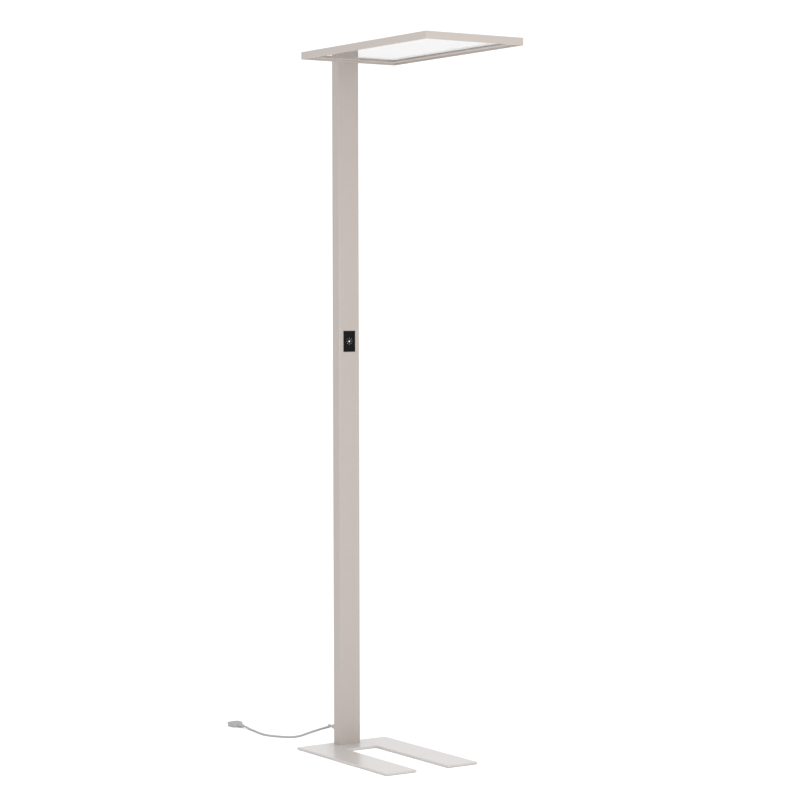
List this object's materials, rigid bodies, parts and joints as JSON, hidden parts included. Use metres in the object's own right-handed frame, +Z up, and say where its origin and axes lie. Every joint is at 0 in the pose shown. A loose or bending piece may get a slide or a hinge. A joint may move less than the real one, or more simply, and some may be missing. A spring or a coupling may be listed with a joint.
{
  "type": "office floor lamp",
  "caption": "Slim office floor lamp: U-shaped base plate, rectangular column, flat cantilevered light-guide head in a thin frame, push control with a sun symbol, mains cord.",
  "frame": {"origin": "on the floor, under the middle of the column", "axes": "+Z up, the head and the base legs point to -Y, +X to the right seen from the front"},
  "size_m": [0.356, 1.109, 1.95],
  "materials": {
    "base_paint": "fine matt powder coat",
    "column_paint": "fine matt powder coat on aluminium",
    "rail_paint": "fine matt powder coat on aluminium",
    "cap_plastic": "matt",
    "pad_rubber": "matt",
    "zinc_steel": "zinc plated",
    "cast_aluminium": "plain",
    "acrylic": "clear, polished",
    "circuit_board": "coated board",
    "strip_board": "white board",
    "lead_white": "soft sheath",
    "black_plastic": "fine satin",
    "switch_plastic": "plain",
    "symbol_white": "translucent white",
    "driver_white": "moulded",
    "gland_plastic": "moulded",
    "grommet_rubber": "matt",
    "cord_sheath": "smooth satin",
    "plug_plastic": "moulded satin",
    "plug_metal": "plated"
  },
  "bodies": {
    "lamp": {"base_plate": "base_paint", "floor_pad": "pad_rubber", "base_screws": "zinc_steel", "tray_screw": "zinc_steel", "tray_nut": "zinc_steel", "column_tube": "column_paint", "column_top_cap": "cap_plastic", "left_rail": "rail_paint", "right_rail": "rail_paint", "front_rail": "rail_paint", "rear_rail": "rail_paint", "corner_cleats": "cast_aluminium", "light_guide": "acrylic", "led_strip_left": "strip_board", "led_strip_right": "strip_board", "strip_leads": "lead_white", "head_bracket": "zinc_steel", "head_nut_plate": "zinc_steel", "head_screws": "zinc_steel", "head_grommet": "grommet_rubber", "control_bezel": "black_plastic", "key_switch": "switch_plastic", "control_board": "circuit_board", "board_screws": "zinc_steel", "board_connectors": "driver_white", "driver_tray": "zinc_steel", "led_driver": "driver_white", "driver_screws": "zinc_steel", "terminal_block": "driver_white", "mains_tail": "cord_sheath", "driver_lead": "lead_white", "column_lead": "lead_white", "head_lead": "lead_white", "gland_body": "gland_plastic", "gland_lock_nut": "gland_plastic", "gland_dome_nut": "gland_plastic", "gland_seal": "grommet_rubber", "strain_relief": "gland_plastic", "cord_lead": "cord_sheath", "cord_coil": "cord_sheath", "cord_run": "cord_sheath", "plug_body": "plug_plastic", "plug_pins": "plug_metal"},
    "key": {"control_key": "black_plastic", "sun_symbol": "symbol_white", "switch_plunger": "switch_plastic"}
  },
  "joints": [
    {"name": "key_press", "type": "slide", "parent": "lamp", "child": "key", "axis": [0, 1, 0], "range_m": [0, 0.0008], "stiffness_N_per_m": 1500}
  ]
}
